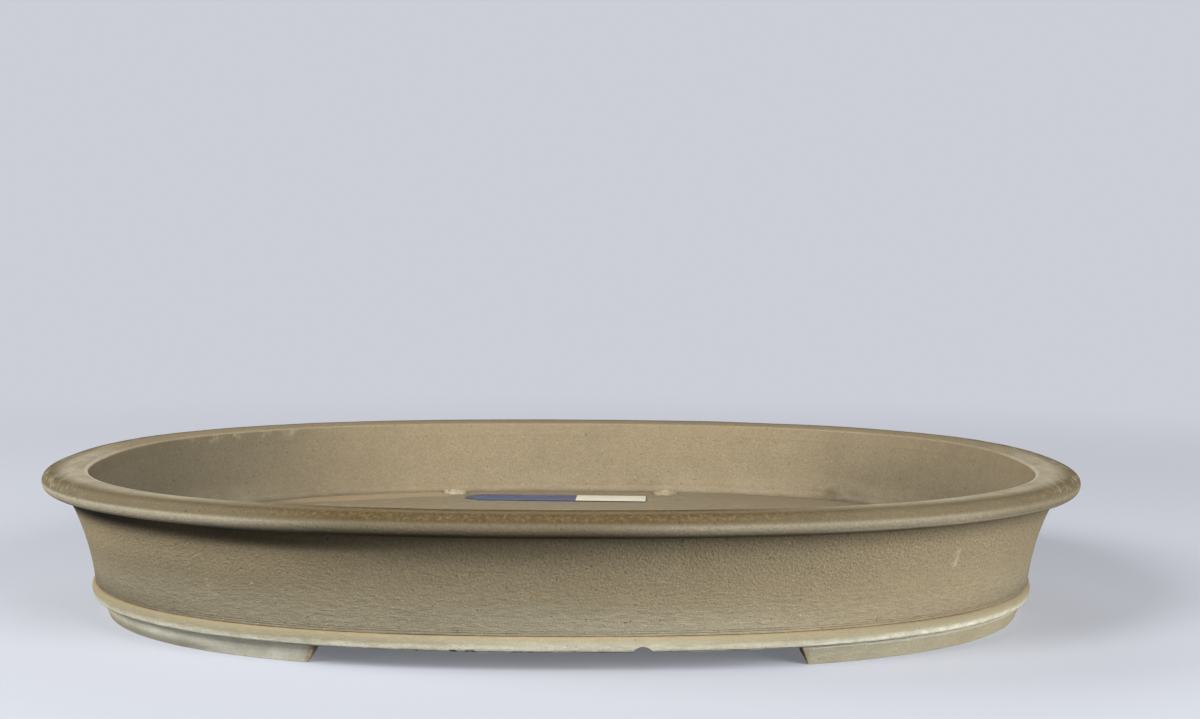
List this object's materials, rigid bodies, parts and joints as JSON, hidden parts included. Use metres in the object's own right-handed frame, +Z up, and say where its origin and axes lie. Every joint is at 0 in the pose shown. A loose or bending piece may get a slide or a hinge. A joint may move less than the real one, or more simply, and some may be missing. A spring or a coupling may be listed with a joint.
{
  "type": "oval bonsai pot",
  "caption": "Shallow oval unglazed bonsai pot with an outturned rim, a base band, end feet with an arch between them, and holes through its floor.",
  "frame": {"origin": "on the ground plane, under the middle of the pot's outermost outline", "axes": "+X along the pot's length, +Y towards the back (the side where the plant tag lies), +Z up"},
  "size_m": [0.6, 0.456, 0.0824],
  "materials": {
    "floor_clay": "unglazed, matt",
    "unglazed_clay": "unglazed, fine orange-peel texture",
    "rim_clay": "unglazed, worn satin",
    "band_clay": "unglazed with pale mineral deposit",
    "foot_clay": "unglazed, matt",
    "tag_plastic": "matt blue",
    "sticker_paper": "matt off-white"
  },
  "bodies": {
    "root": {"floor_slab": "floor_clay", "wall": "unglazed_clay", "rim": "rim_clay", "base_band": "band_clay", "foot_left": "foot_clay", "foot_right": "foot_clay", "plant_tag": "tag_plastic", "tag_sticker": "sticker_paper"}
  },
  "joints": []
}
